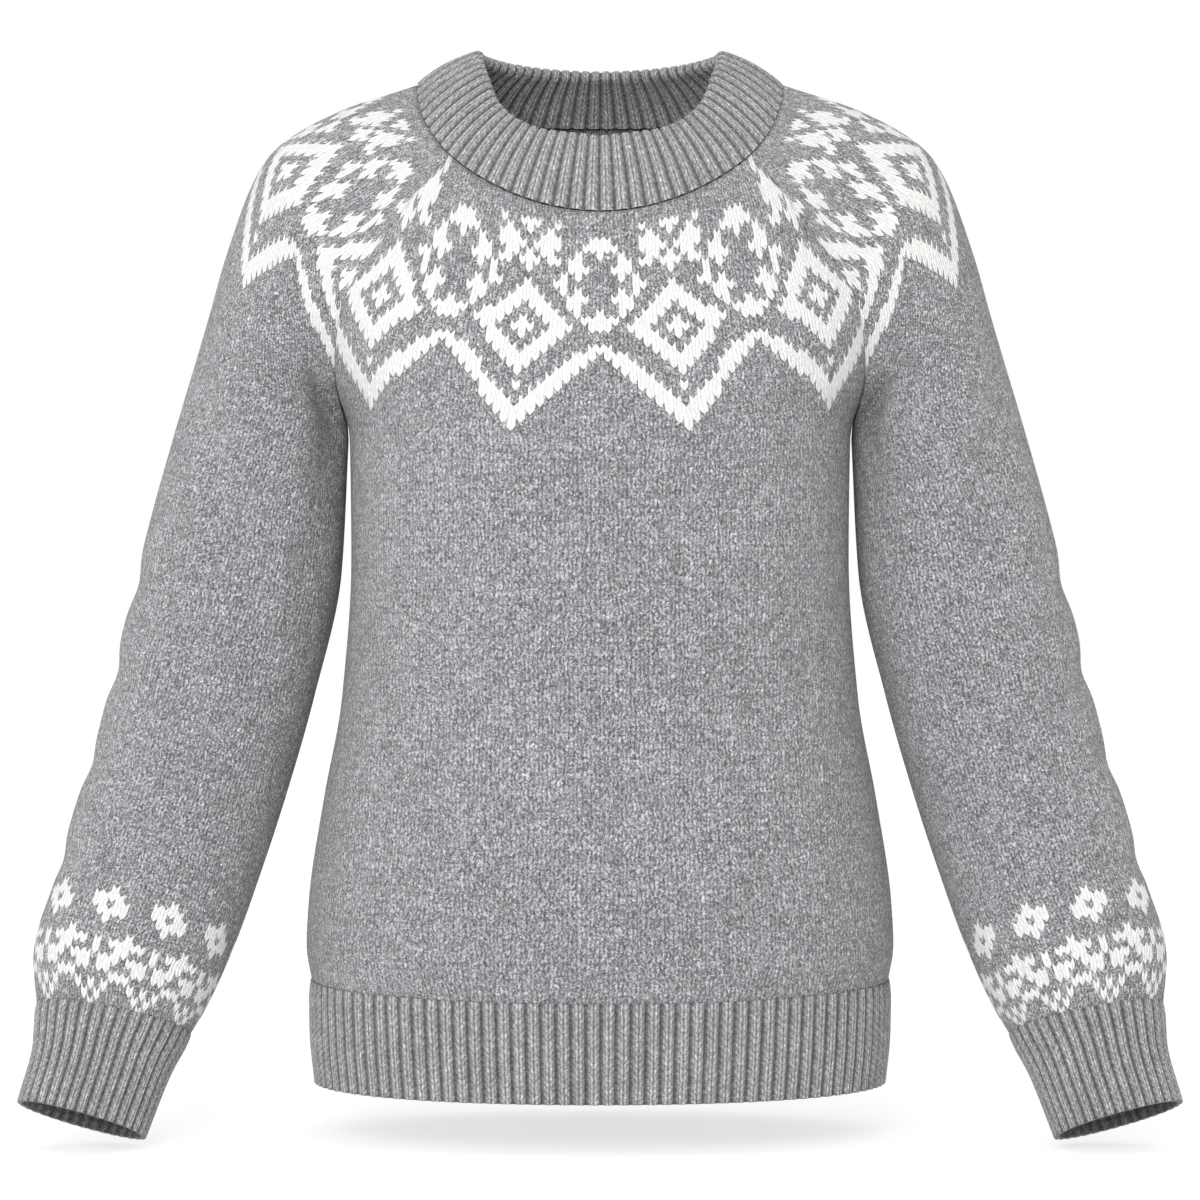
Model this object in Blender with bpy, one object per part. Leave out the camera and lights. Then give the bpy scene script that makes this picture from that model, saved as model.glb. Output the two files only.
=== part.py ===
"""A knitted raglan pullover with a ribbed neckband, cuffs and hem, hollow as it hangs on a wearer.

Metres, +Z up, the front faces -Y. The origin lies between the two shoulder points, level with the
neckband's seam, where the wearer's shoulders carry the garment. Sizes below are in millimetres and
the tables describe the wearer's left half (+X); the other half is its mirror image.
"""

import math

import bmesh
import bpy
import numpy as np

MM = 0.001

CLOTH_THICKNESS = 3.0
NECKBAND_THICKNESS = 6.0
RIB_BASE_THICKNESS = 3.0
SEAM_GAP = 0.3
UNDERARM_CLEARANCE = 0.5

HEM_RIBS_PER_PANEL = 54
CUFF_RIBS = 34
NECKBAND_RIBS = 72
RIB_HEIGHT = 1.5
NECK_RIB_HEIGHT = 1.2

PANEL_COLUMNS = 18
SLEEVE_COLUMNS = 20
YOKE_ROWS = 9
LOWER_ROWS = 12
DENSE = 160

GREY_WOOL = (0.365, 0.367, 0.384)
RIB_WOOL = (0.300, 0.303, 0.318)

# Front panel, one row for each level from the neck seam down to the hem ribbing.
# down: distance below the neck seam. centre: the middle of the panel.
# edge: the raglan seam, then the side seam.
# lead and arrive: lengths of the curve's handles at the centre and at the edge.
# turn: the way the edge runs, 0 across and 90 straight back. climb: how steeply it rises there.
FRONT = """
down centre_y centre_z edge_x  edge_y  edge_z  lead arrive turn climb
0      -101     -90.5    94.0   -61.0   -51.0   38    38    49   33
42     -113    -126     134.0   -80.0  -104.0   52    46    47   13
84     -121    -166     161.0   -74.0  -150.0   66    56    52    7
120    -127    -200     166.0   -46.0  -190.0   84    66    66    2
152    -130    -232     160.0     0.0  -226.0   96    78    90    0
222    -129    -302     159.0     0.0  -302.0   98    78    90    0
312    -123    -391     165.0     0.0  -391.0  100    76    90    0
376    -124    -455     176.5     0.0  -455.0  108    76    90    0
440    -129    -519     186.0     0.0  -519.0  114    80    90    0
470    -130    -548     187.5     0.0  -548.0  115    80    90    0
493    -124    -575     184.0     0.0  -571.0  112    76    90    0
"""

BACK = """
down centre_y centre_z edge_x  edge_y  edge_z  lead arrive turn climb
0        72     -16      88.0    44.0    -9.0   34    32    48   12
52       97     -68     124.0    66.0   -72.0   52    42    46    4
104     104    -120     152.0    68.0  -128.0   66    50    50    0
158     105    -178     166.0    46.0  -186.0   84    62    66    0
212     102    -232     160.0     0.0  -226.0   96    62    90    0
282      98    -302     159.0     0.0  -302.0   98    60    90    0
371      98    -391     165.0     0.0  -391.0  100    60    90    0
435     106    -455     176.5     0.0  -455.0  108    66    90    0
499     115    -519     186.0     0.0  -519.0  114    72    90    0
529     117    -548     187.5     0.0  -548.0  115    73    90    0
552     112    -571     184.0     0.0  -571.0  112    69    90    0
"""

# Yoke part of the sleeve. outer: the line over the shoulder and down the outside of the arm.
# front_ and back_ x, y, z: the handles with which a row leaves the two raglan seams.
# top: the length of the handles at the outer line, and rise: how far they drop over that length.
SLEEVE_YOKE = """
down outer_x outer_y outer_z front_x front_y front_z back_x back_y back_z top_f drop_f top_b drop_b
0      116      4       1       14      17      15      15    -13      3     26     18    18     3
58     170      2     -18        8      33      38       8    -24     36     34      9    32     8
109    212      2     -46       30       8      34      30     -6     32     50     12    46    12
170    237      2    -104       34     -34      22      32     34     20     66     12    60    12
262    263      0    -196        0     -80       0       0     74      0     80      0    74     0
"""

# Rings of the sleeve from the underarm to the cuff: the inner and outer edge seen from the front,
# the depth in front of and behind that line, and lean, the forward tilt of the forearm in degrees.
SLEEVE_RINGS = """
down inner_x inner_y inner_z outer_x outer_y outer_z front_depth back_depth lean
262   160.0     0    -226     263.0     0    -196       60         56         0
345   164.5     0    -311     286.0     0    -277       56         52         2
425   182.0    -3    -391     305.5    -3    -357       54         50         6
490   199.0   -12    -452     319.5   -12    -419       53         49        12
540   213.0   -24    -497     332.0   -24    -464       52         48        15
590   228.0   -38    -541     343.0   -38    -509       51         47        17
636   245.0   -52    -581     353.5   -52    -553       47         43        18
658   256.0   -58    -600     350.5   -58    -581       38         34        18
"""

CUFF_RINGS = """
down inner_x inner_y inner_z outer_x outer_y outer_z front_depth back_depth lean
0     256.0   -58    -600.0   350.5   -58    -581.0     38         34       18
24    268.0   -66    -622.0   350.5   -66    -602.0     33         30       18
66    282.5   -80    -660.5   358.5   -80    -640.0     31         28       18
"""

HEM_RINGS = """
down front_y back_y edge_x lead front_arrive back_arrive z front_drop
0     -124    112    184.0  112      76          69     -571    4
30    -121    109    183.5  111      74          68     -603    2
64    -119    107    180.5  109      73          66     -635    1
"""

# The neckband's top fold, by angle round the neck from the front: its middle line.
NECK_TOP = {"half_width": 77.0, "side_y": -6.0, "side_z": 21.0, "front_y": -72.0, "front_z": -40.5,
            "back_y": 46.0, "back_z": 15.0}

# How the fold sinks from the shoulder to the front: degrees from the front, and the share of the drop.
NECK_FALL = """
down share
0    1.0
29   0.906
54   0.64
73   0.24
90   0.0
"""
NECKBAND_BULGE = 2.5
NECKBAND_PARTS = (0.0, 0.28, 0.62, 0.88, 1.0)

# Large soft folds of the sleeve: down and across in millimetres, the length and the breadth of the
# fold, its slope in degrees and its depth.
SLEEVE_FOLDS = """
down across length breadth slope depth
300    -60     90     17    -62    5.0
395     20     80     13     18    3.5
452    -30     70     12    -22    4.0
515     25     75     12     14    3.0
575    -20     60     11    -10    2.5
"""


def table(text):
    """The named columns of a table, as arrays."""
    lines = [line.split() for line in text.strip().splitlines()]
    values = np.array([[float(word) for word in line] for line in lines[1:]])
    return {name: values[:, column] for column, name in enumerate(lines[0])}


def level_slopes(knots, value):
    """Slopes at a table's rows that never let the curve overshoot a row."""
    steps = np.diff(value) / np.diff(knots)
    before, after = steps[:-1], steps[1:]
    same_way = before * after > 0
    together = np.where(same_way, before + after, 1.0)
    middle = np.where(same_way, 2 * before * after / together, 0.0)
    return np.concatenate([[steps[0]], middle, [steps[-1]]])


def smooth(columns, names, down):
    """Values of the named columns at a distance down the cloth, on a smooth curve through the rows."""
    knots = columns["down"]
    at = int(np.clip(np.searchsorted(knots, down) - 1, 0, len(knots) - 2))
    span = knots[at + 1] - knots[at]
    part = (down - knots[at]) / span
    found = []
    for name in names:
        value = columns[name]
        slope = level_slopes(knots, value)
        found.append(
            (2 * part**3 - 3 * part**2 + 1) * value[at]
            + (part**3 - 2 * part**2 + part) * span * slope[at]
            + (3 * part**2 - 2 * part**3) * value[at + 1]
            + (part**3 - part**2) * span * slope[at + 1]
        )
    return found


def bezier(start, start_handle, end_handle, end):
    """Points along a cubic curve, from handles given as offsets from its ends."""
    part = np.linspace(0.0, 1.0, DENSE)[:, None]
    rest = 1.0 - part
    start, end = np.array(start, float), np.array(end, float)
    return (
        rest**3 * start
        + 3 * rest**2 * part * (start + np.array(start_handle, float))
        + 3 * rest * part**2 * (end + np.array(end_handle, float))
        + part**3 * end
    )


def mirrored(points):
    return points[::-1] * np.array([-1.0, 1.0, 1.0])


def body_row(columns, down, side):
    """One whole row of the front (side -1) or back (side 1) panel, from the -X edge to the +X edge."""
    centre_y, centre_z, edge_x, edge_y, edge_z, lead, arrive, turn, climb = smooth(
        columns, list(columns)[1:], down
    )
    turn, climb = math.radians(turn), math.radians(climb)
    across = math.cos(turn) * math.cos(climb)
    ahead = -side * math.sin(turn) * math.cos(climb)
    way = np.array([across, ahead, math.sin(climb)])
    near_underarm = np.clip((turn - math.radians(60)) / math.radians(30), 0.0, 1.0)
    edge = (edge_x - UNDERARM_CLEARANCE * near_underarm, edge_y, edge_z)
    half = bezier((0.0, centre_y, centre_z), (lead, 0.0, 0.0), -arrive * way, edge)
    return np.vstack([mirrored(half), half[1:]])


FRONT_COLUMNS, BACK_COLUMNS = table(FRONT), table(BACK)
YOKE_COLUMNS, RING_COLUMNS = table(SLEEVE_YOKE), table(SLEEVE_RINGS)
UNDERARM_DOWN = {"front": 152.0, "back": 212.0, "sleeve": 262.0}
RAGLAN_SHARES = [0.0, 0.276, 0.55, 0.785, 1.0]


def raglan_point(columns, down):
    return np.array(smooth(columns, ["edge_x", "edge_y", "edge_z"], down))


def ring_row(columns, down):
    """A ring round the arm, from the underarm seam past the front and the outer line to the seam again."""
    inner_x, inner_y, inner_z, outer_x, outer_y, outer_z, front, back, lean = smooth(
        columns, list(columns)[1:], down
    )
    lean = math.radians(lean)
    forward = np.array([0.0, -math.cos(lean), math.sin(lean)]) * 4 / 3
    inner, outer = (inner_x, inner_y, inner_z), (outer_x, outer_y, outer_z)
    ahead = bezier(inner, front * forward, front * forward, outer)
    behind = bezier(outer, -back * forward, -back * forward, inner)
    return np.vstack([ahead, behind[1:]])


def sleeve_row(down):
    """One row of the +X sleeve, from the front raglan seam over the outer line to the back raglan seam."""
    underarm = UNDERARM_DOWN["sleeve"]
    if down >= underarm:
        row = ring_row(RING_COLUMNS, down)
    else:
        share = raglan_share(down)
        start = raglan_point(FRONT_COLUMNS, share * UNDERARM_DOWN["front"])
        end = raglan_point(BACK_COLUMNS, share * UNDERARM_DOWN["back"])
        outer_x, outer_y, outer_z, *handles = smooth(YOKE_COLUMNS, list(YOKE_COLUMNS)[1:], down)
        outer = (outer_x, outer_y, outer_z)
        top_front, drop_front, top_back, drop_back = handles[6:]
        ahead = bezier(start, handles[0:3], (0.0, -top_front, -drop_front), outer)
        behind = bezier(outer, (0.0, top_back, -drop_back), handles[3:6], end)
        row = np.vstack([ahead, behind[1:]])
    away = UNDERARM_CLEARANCE * np.clip((down - 120.0) / (underarm - 120.0), 0.0, 1.0)
    return row + np.array([away, 0.0, 0.0])


def raglan_share(down):
    """How far along the raglan seams a sleeve row meets them, 0 at the neck and 1 at the underarm."""
    return float(np.interp(down, YOKE_COLUMNS["down"], RAGLAN_SHARES))


def spaced(row, count, trim=SEAM_GAP / 2):
    """The row at evenly spaced points, its ends drawn in so that a seam keeps its gap."""
    steps = np.linalg.norm(np.diff(row, axis=0), axis=1)
    along = np.concatenate([[0.0], np.cumsum(steps)])
    at = np.linspace(trim, along[-1] - trim, count + 1)
    return np.stack([np.interp(at, along, row[:, axis]) for axis in range(3)], axis=1)


def normals_of(grid, closed=False):
    """Unit normals of a grid of points, rows down the cloth and columns across it."""
    if closed:
        wrapped = np.concatenate([grid[:, -1:], grid, grid[:, :1]], axis=1)
        across = wrapped[:, 2:] - wrapped[:, :-2]
    else:
        across = np.gradient(grid, axis=1)
    down = np.gradient(grid, axis=0)
    normal = np.cross(down, across)
    return normal / np.linalg.norm(normal, axis=2, keepdims=True)


def unit(vectors):
    return vectors / np.linalg.norm(vectors, axis=-1, keepdims=True)


def levels(underarm, bottom):
    """Distances down the cloth of a panel's rows, alike on both sides of a raglan seam."""
    yoke = np.linspace(SEAM_GAP / 2, underarm, YOKE_ROWS + 1)
    lower = np.linspace(underarm, bottom - SEAM_GAP / 2, LOWER_ROWS + 1)
    return np.concatenate([yoke, lower[1:]])


def raglan_outward(side):
    """The outward direction that the cloth on both sides of a raglan seam shares, by share of the seam."""
    columns = FRONT_COLUMNS if side < 0 else BACK_COLUMNS
    underarm = UNDERARM_DOWN["front" if side < 0 else "back"]
    shares = np.linspace(0.0, 0.9, 19)
    found = []
    for share in shares:
        body = body_row(columns, share * underarm, side)
        sleeve = sleeve_row(float(np.interp(share, RAGLAN_SHARES, YOKE_COLUMNS["down"])))
        seam = raglan_point(columns, share * underarm + 1.0) - raglan_point(columns, share * underarm)
        body_across = (body[-1] - body[-2]) * -side
        sleeve_across = sleeve[1] - sleeve[0] if side < 0 else sleeve[-1] - sleeve[-2]
        found.append(unit(unit(np.cross(seam, body_across)) + unit(np.cross(seam, sleeve_across))))
    return np.append(shares, 1.0), np.array(found + [np.array([0.0, 0.0, -1.0])])


def shared_direction(pair, share):
    shares, directions = pair
    return unit(np.array([np.interp(share, shares, directions[:, axis]) for axis in range(3)]))


def across_ring(row):
    """Outward directions of a closed row within its own plane."""
    centre = row.mean(axis=0)
    plane = unit(np.cross(row[len(row) // 4] - centre, row[len(row) // 2] - centre))
    tangent = np.gradient(row, axis=0)
    outward = unit(np.cross(tangent, plane))
    return outward * np.sign(((row - centre) * outward).sum(axis=1, keepdims=True))


def with_neck_directions(grid, normal, neck):
    """The normals with those of the neck edge turned to the direction shared with the neckband."""
    loop, shared = neck
    for column, point in enumerate(grid[0]):
        normal[0, column] = shared[np.argmin(np.linalg.norm(loop - point, axis=1))]
    return normal


def folded(grid, normal, downs, middle_across):
    """The grid with the large folds pressed in as soft troughs."""
    folds = table(SLEEVE_FOLDS)
    result = grid.copy()
    across = middle_across[None, :]
    for row, down in enumerate(downs):
        press = 0.0
        for index in range(len(folds["down"])):
            slope = math.radians(folds["slope"][index])
            right, below = across[0] - folds["across"][index], down - folds["down"][index]
            along = right * math.cos(slope) + below * math.sin(slope)
            beside = -right * math.sin(slope) + below * math.cos(slope)
            press = press + folds["depth"][index] * np.exp(
                -((along / folds["length"][index]) ** 2) - (beside / folds["breadth"][index]) ** 2
            )
        result[row] -= normal[row] * press[:, None]
    return result


def material(name, colour):
    finish = bpy.data.materials.new(name)
    finish.use_nodes = True
    shader = finish.node_tree.nodes["Principled BSDF"]
    shader.inputs["Base Color"].default_value = (*colour, 1.0)
    shader.inputs["Roughness"].default_value = 0.95
    shader.inputs["Metallic"].default_value = 0.0
    return finish


def add_solid(name, points, faces, finish):
    """One named object from points in millimetres."""
    mesh = bpy.data.meshes.new(name)
    mesh.from_pydata([tuple(point * MM) for point in points], [], faces)
    work = bmesh.new()
    work.from_mesh(mesh)
    bmesh.ops.recalc_face_normals(work, faces=work.faces)
    work.to_mesh(mesh)
    work.free()
    mesh.shade_smooth()
    mesh.materials.append(finish)
    solid = bpy.data.objects.new(name, mesh)
    bpy.context.scene.collection.objects.link(solid)
    return solid


def wall_faces(rows, columns, first):
    """Quads of a grid whose points start at the index first."""
    return [
        (
            first + row * columns + column,
            first + row * columns + column + 1,
            first + (row + 1) * columns + column + 1,
            first + (row + 1) * columns + column,
        )
        for row in range(rows - 1)
        for column in range(columns - 1)
    ]


def add_panel(name, outer, normal, thickness, finish):
    """A wall of cloth between an outer grid and the same grid moved in by its thickness."""
    rows, columns = outer.shape[:2]
    inner = outer - normal * thickness
    points = np.vstack([outer.reshape(-1, 3), inner.reshape(-1, 3)])
    size = rows * columns
    faces = wall_faces(rows, columns, 0)
    faces += [face[::-1] for face in wall_faces(rows, columns, size)]
    rim = (
        [column for column in range(columns)]
        + [row * columns + columns - 1 for row in range(1, rows)]
        + [(rows - 1) * columns + column for column in range(columns - 2, -1, -1)]
        + [row * columns for row in range(rows - 2, 0, -1)]
    )
    faces += [
        (one, one + size, other + size, other) for one, other in zip(rim, rim[1:] + rim[:1])
    ]
    return add_solid(name, points, faces, finish)


def ribbed(row, ribs, height, normal, closed):
    """Outer points of a ribbed row, three for each rib: a valley and the two edges of its ridge."""
    raised = np.array([0.0, height, height])
    count = ribs * 3 if closed else ribs * 3 + 1
    lift = raised[np.arange(count) % 3]
    return row + normal * lift[:, None]


def add_ribbing(name, plain, ribs, thickness, height, closed, finish, neck=None):
    """Ribbing with its ribs raised on the outside over a plain inside, from rows of three points a rib."""
    normal = normals_of(plain, closed)
    if closed and neck is None:
        normal[0] = across_ring(plain[0])
    if neck is not None:
        normal[-1] = with_neck_directions(plain[-1:], normal[-1:], neck)[0]
    outer = np.array([ribbed(row, ribs, height, n, closed) for row, n in zip(plain, normal)])
    rows, columns = outer.shape[:2]
    inner_rows = [0, rows - 1] if rows < 4 else list(range(0, rows, 2))
    if inner_rows[-1] != rows - 1:
        inner_rows.append(rows - 1)
    inner = (plain - normal * thickness)[inner_rows][:, ::3]
    inner_count, inner_columns = inner.shape[:2]
    points = np.vstack([outer.reshape(-1, 3), inner.reshape(-1, 3)])
    size = rows * columns
    turns = columns if closed else columns - 1
    inner_turns = inner_columns if closed else inner_columns - 1
    faces = []
    for row in range(rows - 1):
        for column in range(turns):
            after = (column + 1) % columns
            low, high = row * columns, (row + 1) * columns
            faces.append((low + column, low + after, high + after, high + column))
    for row in range(inner_count - 1):
        for column in range(inner_turns):
            after = (column + 1) % inner_columns
            low, high = size + row * inner_columns, size + (row + 1) * inner_columns
            faces.append((high + column, high + after, low + after, low + column))
    for row, inner_row in ((0, 0), (rows - 1, inner_count - 1)):
        for rib in range(inner_turns):
            after = (rib + 1) % inner_columns
            ridge = [row * columns + (rib * 3 + step) % columns for step in range(4)]
            inside = size + inner_row * inner_columns
            faces.append(tuple(ridge) + (inside + after, inside + rib))
    if not closed:
        for column, inner_column in ((0, 0), (columns - 1, inner_columns - 1)):
            edge = [row * columns + column for row in range(rows)]
            back = [size + row * inner_columns + inner_column for row in range(inner_count)]
            faces.append(tuple(edge) + tuple(reversed(back)))
    return add_solid(name, points, faces, finish)


def add_body_panels(neck, finish):
    for name, columns, side in (("front", FRONT_COLUMNS, -1), ("back", BACK_COLUMNS, 1)):
        underarm = UNDERARM_DOWN[name]
        downs = levels(underarm, columns["down"][-1])
        grid = np.array([spaced(body_row(columns, down, side), PANEL_COLUMNS) for down in downs])
        seam = raglan_outward(side)
        right = np.array([shared_direction(seam, min(down / underarm, 1.0)) for down in downs])
        fall = np.gradient(grid[:, -1], axis=0)
        right[YOKE_ROWS + 1 :] = unit(np.cross([0.0, 1.0, 0.0], -fall))[YOKE_ROWS + 1 :]
        left = right * np.array([-1.0, 1.0, 1.0])
        if side > 0:
            grid, left, right = grid[:, ::-1], right, left
        normal = with_neck_directions(grid, normals_of(grid), neck)
        normal[:, 0], normal[:, -1] = left, right
        add_panel(name, grid, normal, CLOTH_THICKNESS, finish)


def add_sleeves(neck, finish):
    underarm = UNDERARM_DOWN["sleeve"]
    shares = np.linspace(SEAM_GAP / 2 / UNDERARM_DOWN["front"], 1.0, YOKE_ROWS + 1)
    yoke = np.interp(shares, RAGLAN_SHARES, YOKE_COLUMNS["down"])
    downs = np.concatenate([yoke, levels(underarm, RING_COLUMNS["down"][-1])[YOKE_ROWS + 1 :]])
    grid = np.array([spaced(sleeve_row(down), SLEEVE_COLUMNS) for down in downs])
    middle = np.linspace(-0.5, 0.5, SLEEVE_COLUMNS + 1) * 360.0
    grid = folded(grid, normals_of(grid), downs, middle)
    normal = with_neck_directions(grid, normals_of(grid), neck)
    for column, side in ((0, -1), (-1, 1)):
        seam = raglan_outward(side)
        for row, share in enumerate(shares):
            normal[row, column] = shared_direction(seam, share)
    inward = normal[YOKE_ROWS + 1 :]
    inward[:, 0] = inward[:, -1] = unit(inward[:, 0] + inward[:, -1])
    normal[-1] = across_ring(grid[-1])
    add_panel("sleeve_left", grid, normal, CLOTH_THICKNESS, finish)
    other = np.array([-1.0, 1.0, 1.0])
    add_panel("sleeve_right", (grid * other)[:, ::-1], (normal * other)[:, ::-1], CLOTH_THICKNESS, finish)


def hem_row(down, side):
    columns = table(HEM_RINGS)
    front_y, back_y, edge_x, lead, front_arrive, back_arrive, level, drop = smooth(
        columns, list(columns)[1:], down
    )
    deep, arrive = (front_y, front_arrive) if side < 0 else (back_y, back_arrive)
    middle = level - drop if side < 0 else level
    half = bezier((0.0, deep, middle), (lead, 0.0, 0.0), (0.0, side * arrive, 0.0), (edge_x, 0.0, level))
    return np.vstack([mirrored(half), half[1:]])


def add_hem(finish):
    for name, side in (("hem_rib_front", -1), ("hem_rib_back", 1)):
        downs = (SEAM_GAP / 2, 30.0, 64.0)
        rows = [spaced(hem_row(down, side), HEM_RIBS_PER_PANEL * 3) for down in downs]
        grid = np.array(rows)
        if side > 0:
            grid = grid[:, ::-1]
        add_ribbing(name, grid, HEM_RIBS_PER_PANEL, RIB_BASE_THICKNESS, RIB_HEIGHT, False, finish)


def add_cuffs(finish):
    columns = table(CUFF_RINGS)
    rows = [
        spaced(ring_row(columns, down), CUFF_RIBS * 3, 0.0)[:-1]
        for down in (SEAM_GAP / 2, 24.0, 66.0)
    ]
    grid = np.array(rows)
    add_ribbing("cuff_left", grid, CUFF_RIBS, RIB_BASE_THICKNESS, RIB_HEIGHT, True, finish)
    other = grid[:, ::-1] * np.array([-1.0, 1.0, 1.0])
    add_ribbing("cuff_right", other, CUFF_RIBS, RIB_BASE_THICKNESS, RIB_HEIGHT, True, finish)


def neck_loop(down=0.0):
    """The neck seam, all round from the middle of the front past +X to the back and round by -X."""
    front = body_row(FRONT_COLUMNS, down, -1)[DENSE - 1 :]
    shoulder = sleeve_row(down)
    back = body_row(BACK_COLUMNS, down, 1)[DENSE - 1 :][::-1]
    half = np.vstack([front, shoulder[1:-1], back])
    other = half[::-1][1:-1] * np.array([-1.0, 1.0, 1.0])
    return np.vstack([half, other, half[:1]])


def neck_top(angle):
    """The middle of the band's top fold at an angle round the neck, 0 at the front."""
    size = NECK_TOP
    forward = math.cos(angle)
    deep, level = (size["front_y"], size["front_z"]) if forward > 0 else (size["back_y"], size["back_z"])
    share = abs(forward)
    fall = share**1.5
    if forward > 0:
        from_front = min(math.degrees(angle), 360.0 - math.degrees(angle))
        fall = smooth(table(NECK_FALL), ["share"], from_front)[0]
    return np.array([
        size["half_width"] * math.sin(angle),
        size["side_y"] + (deep - size["side_y"]) * share,
        size["side_z"] + (level - size["side_z"]) * fall,
    ])


def neckband_rows(count):
    """Rows of points up the outside of the neckband, from its seam to its top fold."""
    low = spaced(neck_loop(), count, 0.0)[:-1]
    top = np.array([neck_top(angle) for angle in np.linspace(0.0, 2 * math.pi, 4 * DENSE + 1)])
    high = spaced(top, count, 0.0)[:-1]
    around = np.roll(low, -1, axis=0) - np.roll(low, 1, axis=0)
    outward = unit(np.cross(around, high - low))
    rise = np.linalg.norm(high - low, axis=1)[:, None]
    rows = []
    for part in NECKBAND_PARTS:
        bulge = NECKBAND_BULGE * 4 * part * (1 - part)
        rows.append(low + (high - low) * part + outward * bulge)
    rows[0] = rows[0] + (high - low) * SEAM_GAP / rise
    return np.array(rows)


def neck_seam():
    """Points of the neck seam with the outward direction that the panels and the neckband share there."""
    count = 4 * DENSE
    rows = neckband_rows(count)
    around = np.roll(rows[0], -1, axis=0) - np.roll(rows[0], 1, axis=0)
    band = unit(np.cross(around, rows[1] - rows[0]))
    low = spaced(neck_loop(), count, 0.0)[:-1]
    below = neck_loop(4.0)
    nearest = np.array([below[np.argmin(np.linalg.norm(below - point, axis=1))] for point in low])
    panel = unit(np.cross(nearest - low, around))
    return low, unit(band + panel)


def add_neckband(neck, finish):
    rows = neckband_rows(NECKBAND_RIBS * 3)
    grid = rows[::-1]
    add_ribbing("neckband", grid, NECKBAND_RIBS, NECKBAND_THICKNESS, NECK_RIB_HEIGHT, True, finish, neck)


def clear_scene():
    for item in list(bpy.data.objects):
        bpy.data.objects.remove(item)


def main():
    clear_scene()
    wool = material("wool_knit", GREY_WOOL)
    ribbing = material("wool_ribbing", RIB_WOOL)
    neck = neck_seam()
    add_body_panels(neck, wool)
    add_sleeves(neck, wool)
    add_hem(ribbing)
    add_cuffs(ribbing)
    add_neckband(neck, ribbing)


main()
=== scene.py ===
"""A grey wool pullover with a white patterned yoke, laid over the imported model's frame."""

import math

import bpy
import numpy as np
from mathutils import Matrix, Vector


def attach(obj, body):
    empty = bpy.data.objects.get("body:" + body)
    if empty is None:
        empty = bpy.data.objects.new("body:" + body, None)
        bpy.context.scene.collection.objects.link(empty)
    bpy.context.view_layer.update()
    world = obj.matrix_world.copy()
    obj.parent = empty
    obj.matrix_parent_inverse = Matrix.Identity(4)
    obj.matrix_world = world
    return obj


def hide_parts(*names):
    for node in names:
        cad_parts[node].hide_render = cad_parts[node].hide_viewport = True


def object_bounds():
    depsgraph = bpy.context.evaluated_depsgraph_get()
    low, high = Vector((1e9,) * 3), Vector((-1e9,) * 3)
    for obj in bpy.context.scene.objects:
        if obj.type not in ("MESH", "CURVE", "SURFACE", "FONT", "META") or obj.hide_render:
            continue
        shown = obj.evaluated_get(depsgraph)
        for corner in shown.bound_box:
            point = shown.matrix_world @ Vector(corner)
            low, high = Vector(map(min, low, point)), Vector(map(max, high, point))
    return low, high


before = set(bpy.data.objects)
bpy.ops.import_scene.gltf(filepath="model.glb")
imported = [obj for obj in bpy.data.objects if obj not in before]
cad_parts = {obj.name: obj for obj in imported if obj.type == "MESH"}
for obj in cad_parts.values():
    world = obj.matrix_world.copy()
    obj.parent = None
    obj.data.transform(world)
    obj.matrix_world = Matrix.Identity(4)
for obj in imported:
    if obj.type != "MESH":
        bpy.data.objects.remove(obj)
packed_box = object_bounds()

# Front panel
# The front is stocking stitch in heathered grey wool, knitted a little wider at the bust than at the
# ribbing, with a white pattern stranded into the yoke. Its raglan edges slope in from the underarm.
# Lengths are in millimetres and each row of the table is one level of the cloth, from the neck down.
FRONT_SHAPE = """
down centre_y centre_z edge_x  edge_y  edge_z  lead arrive turn climb
0      -101     -90.5    94.0   -61.0   -51.0   38    38    49   33
42     -113    -126     134.0   -80.0  -104.0   52    46    47   13
84     -121    -166     161.0   -74.0  -150.0   66    56    52    7
120    -127    -200     166.0   -46.0  -190.0   84    66    66    2
152    -130    -232     160.0     0.0  -226.0   96    78    90    0
222    -129    -302     159.0     0.0  -302.0   98    78    90    0
312    -123    -391     165.0     0.0  -391.0  100    76    90    0
376    -124    -455     176.5     0.0  -455.0  108    76    90    0
440    -129    -519     186.0     0.0  -519.0  114    80    90    0
470    -130    -548     187.5     0.0  -548.0  115    80    90    0
493    -124    -575     184.0     0.0  -571.0  112    76    90    0
"""
FRONT_ROWS = 105
FRONT_UNDERARM = 152.0
YOKE_LEVELS = [0, 4, 8, 12, 16, 19, 24, 30]
YOKE_DOWNS = [0.15, 19.0, 40.0, 59.5, 77.5, 91.5, 115.0, 144.0]
REPEAT = 20
BODY_STITCHES = """
row half_stitches
0     26.5
4     29.5
8     33.2
12    35.6
16    36.5
19    36.8
24    37.8
30    41.5
33    42.4
60    42.4
85    45.2
"""
FRONT_LENGTH = 493.0
SEAM_GAP = 0.15
UNDERARM_CLEARANCE = 0.5
STITCH_DIP = 0.6
CLOTH_THICKNESS = 2.6
MILLIMETRE = 0.001
CURVE_POINTS = 160
WOOL_GREY = (0.245, 0.247, 0.257, 1.0)
WOOL_CREAM = (0.76, 0.752, 0.738, 1.0)
# The purl side, inside each panel and on its cut edges, is a darker copy of the same grey yarn: painted
# shade.
WOOL_PURL_SHADED = (0.2, 0.202, 0.21, 1.0)


def table(text):
    """The named columns of a table of numbers, its first line their names."""
    lines = [line.split() for line in text.strip().splitlines()]
    values = np.array([[float(word) for word in line] for line in lines[1:]])
    return {name: values[:, column] for column, name in enumerate(lines[0])}


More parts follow.
